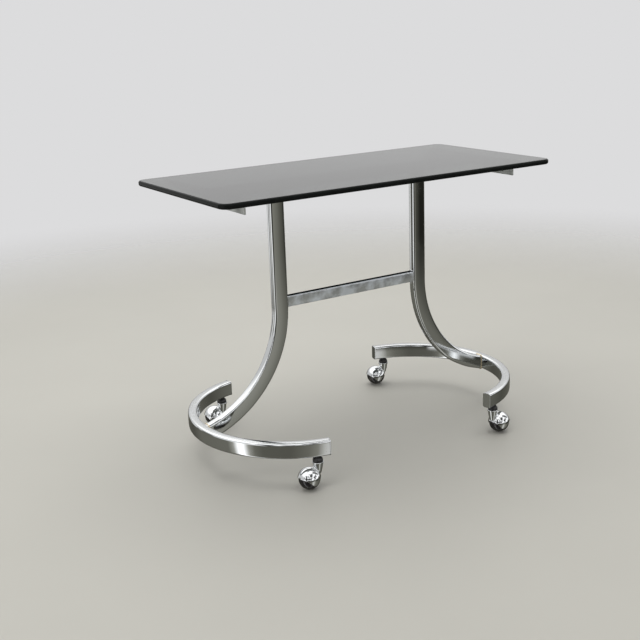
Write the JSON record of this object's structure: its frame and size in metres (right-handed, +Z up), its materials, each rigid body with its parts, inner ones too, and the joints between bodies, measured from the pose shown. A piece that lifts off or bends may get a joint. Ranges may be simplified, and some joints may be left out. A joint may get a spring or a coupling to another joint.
{
  "type": "rolling side table",
  "caption": "Low rolling side table: a long smoked glass top on a bent flat-tube chrome frame with C-shaped feet and hooded ball casters.",
  "frame": {"origin": "centre of the glass top's upper face; the floor is 0.536 m below it", "axes": "+X along the table's length, +Y across it towards the back, +Z up"},
  "size_m": [0.727, 0.4281, 0.536],
  "materials": {
    "smoked_glass": "polished smoked float glass with a pencil-ground edge",
    "clear_vinyl": "clear soft vinyl",
    "chrome": "bright chrome plate on polished steel tube",
    "hood_chrome": "bright chrome plate on die-cast zinc",
    "plated_steel": "plain plated steel angle",
    "steel": "turned steel",
    "black_plastic": "moulded black plastic",
    "dark_ball": "hard near-black plastic, worn to a soft gloss"
  },
  "bodies": {
    "frame": {"glass_top": "smoked_glass", "glass_pad_front_left": "clear_vinyl", "glass_pad_front_right": "clear_vinyl", "glass_pad_rear_left": "clear_vinyl", "glass_pad_rear_right": "clear_vinyl", "cross_arm_left": "plated_steel", "cross_arm_right": "plated_steel", "top_rail": "chrome", "leg_left": "chrome", "leg_right": "chrome", "stretcher": "chrome", "foot_left": "chrome", "foot_right": "chrome", "foot_end_cap_front_left": "chrome", "foot_end_cap_front_right": "chrome", "foot_end_cap_rear_left": "chrome", "foot_end_cap_rear_right": "chrome", "caster_socket_front_left": "black_plastic", "caster_socket_front_right": "black_plastic", "caster_socket_rear_left": "black_plastic", "caster_socket_rear_right": "black_plastic"},
    "swivel_front_left": {"caster_stem_front_left": "steel", "grip_ring_front_left": "steel", "caster_hood_front_left": "hood_chrome", "wheel_axle_front_left": "steel"},
    "wheel_front_left": {"ball_wheel_front_left": "dark_ball"},
    "swivel_front_right": {"caster_stem_front_right": "steel", "grip_ring_front_right": "steel", "caster_hood_front_right": "hood_chrome", "wheel_axle_front_right": "steel"},
    "wheel_front_right": {"ball_wheel_front_right": "dark_ball"},
    "swivel_rear_left": {"caster_stem_rear_left": "steel", "grip_ring_rear_left": "steel", "caster_hood_rear_left": "hood_chrome", "wheel_axle_rear_left": "steel"},
    "wheel_rear_left": {"ball_wheel_rear_left": "dark_ball"},
    "swivel_rear_right": {"caster_stem_rear_right": "steel", "grip_ring_rear_right": "steel", "caster_hood_rear_right": "hood_chrome", "wheel_axle_rear_right": "steel"},
    "wheel_rear_right": {"ball_wheel_rear_right": "dark_ball"}
  },
  "joints": [
    {"name": "swivel_front_left", "type": "hinge", "parent": "frame", "child": "swivel_front_left", "pos_m": [-0.20832, -0.18707, -0.485], "axis": [0, 0, 1], "continuous": true},
    {"name": "roll_front_left", "type": "hinge", "parent": "swivel_front_left", "child": "wheel_front_left", "pos_m": [-0.2255, -0.18374, -0.516], "axis": [-0.1908, -0.9816, 0], "continuous": true},
    {"name": "swivel_front_right", "type": "hinge", "parent": "frame", "child": "swivel_front_right", "pos_m": [0.20832, -0.18707, -0.485], "axis": [0, 0, 1], "continuous": true},
    {"name": "roll_front_right", "type": "hinge", "parent": "swivel_front_right", "child": "wheel_front_right", "pos_m": [0.22582, -0.18677, -0.516], "axis": [-0.0175, 0.9998, 0], "continuous": true},
    {"name": "swivel_rear_left", "type": "hinge", "parent": "frame", "child": "swivel_rear_left", "pos_m": [-0.20832, 0.18707, -0.485], "axis": [0, 0, 1], "continuous": true},
    {"name": "roll_rear_left", "type": "hinge", "parent": "swivel_rear_left", "child": "wheel_rear_left", "pos_m": [-0.22173, 0.19832, -0.516], "axis": [-0.6428, -0.766, 0], "continuous": true},
    {"name": "swivel_rear_right", "type": "hinge", "parent": "frame", "child": "swivel_rear_right", "pos_m": [0.20832, 0.18707, -0.485], "axis": [0, 0, 1], "continuous": true},
    {"name": "roll_rear_right", "type": "hinge", "parent": "swivel_rear_right", "child": "wheel_rear_right", "pos_m": [0.19317, 0.19582, -0.516], "axis": [-0.5, -0.866, 0], "continuous": true}
  ]
}
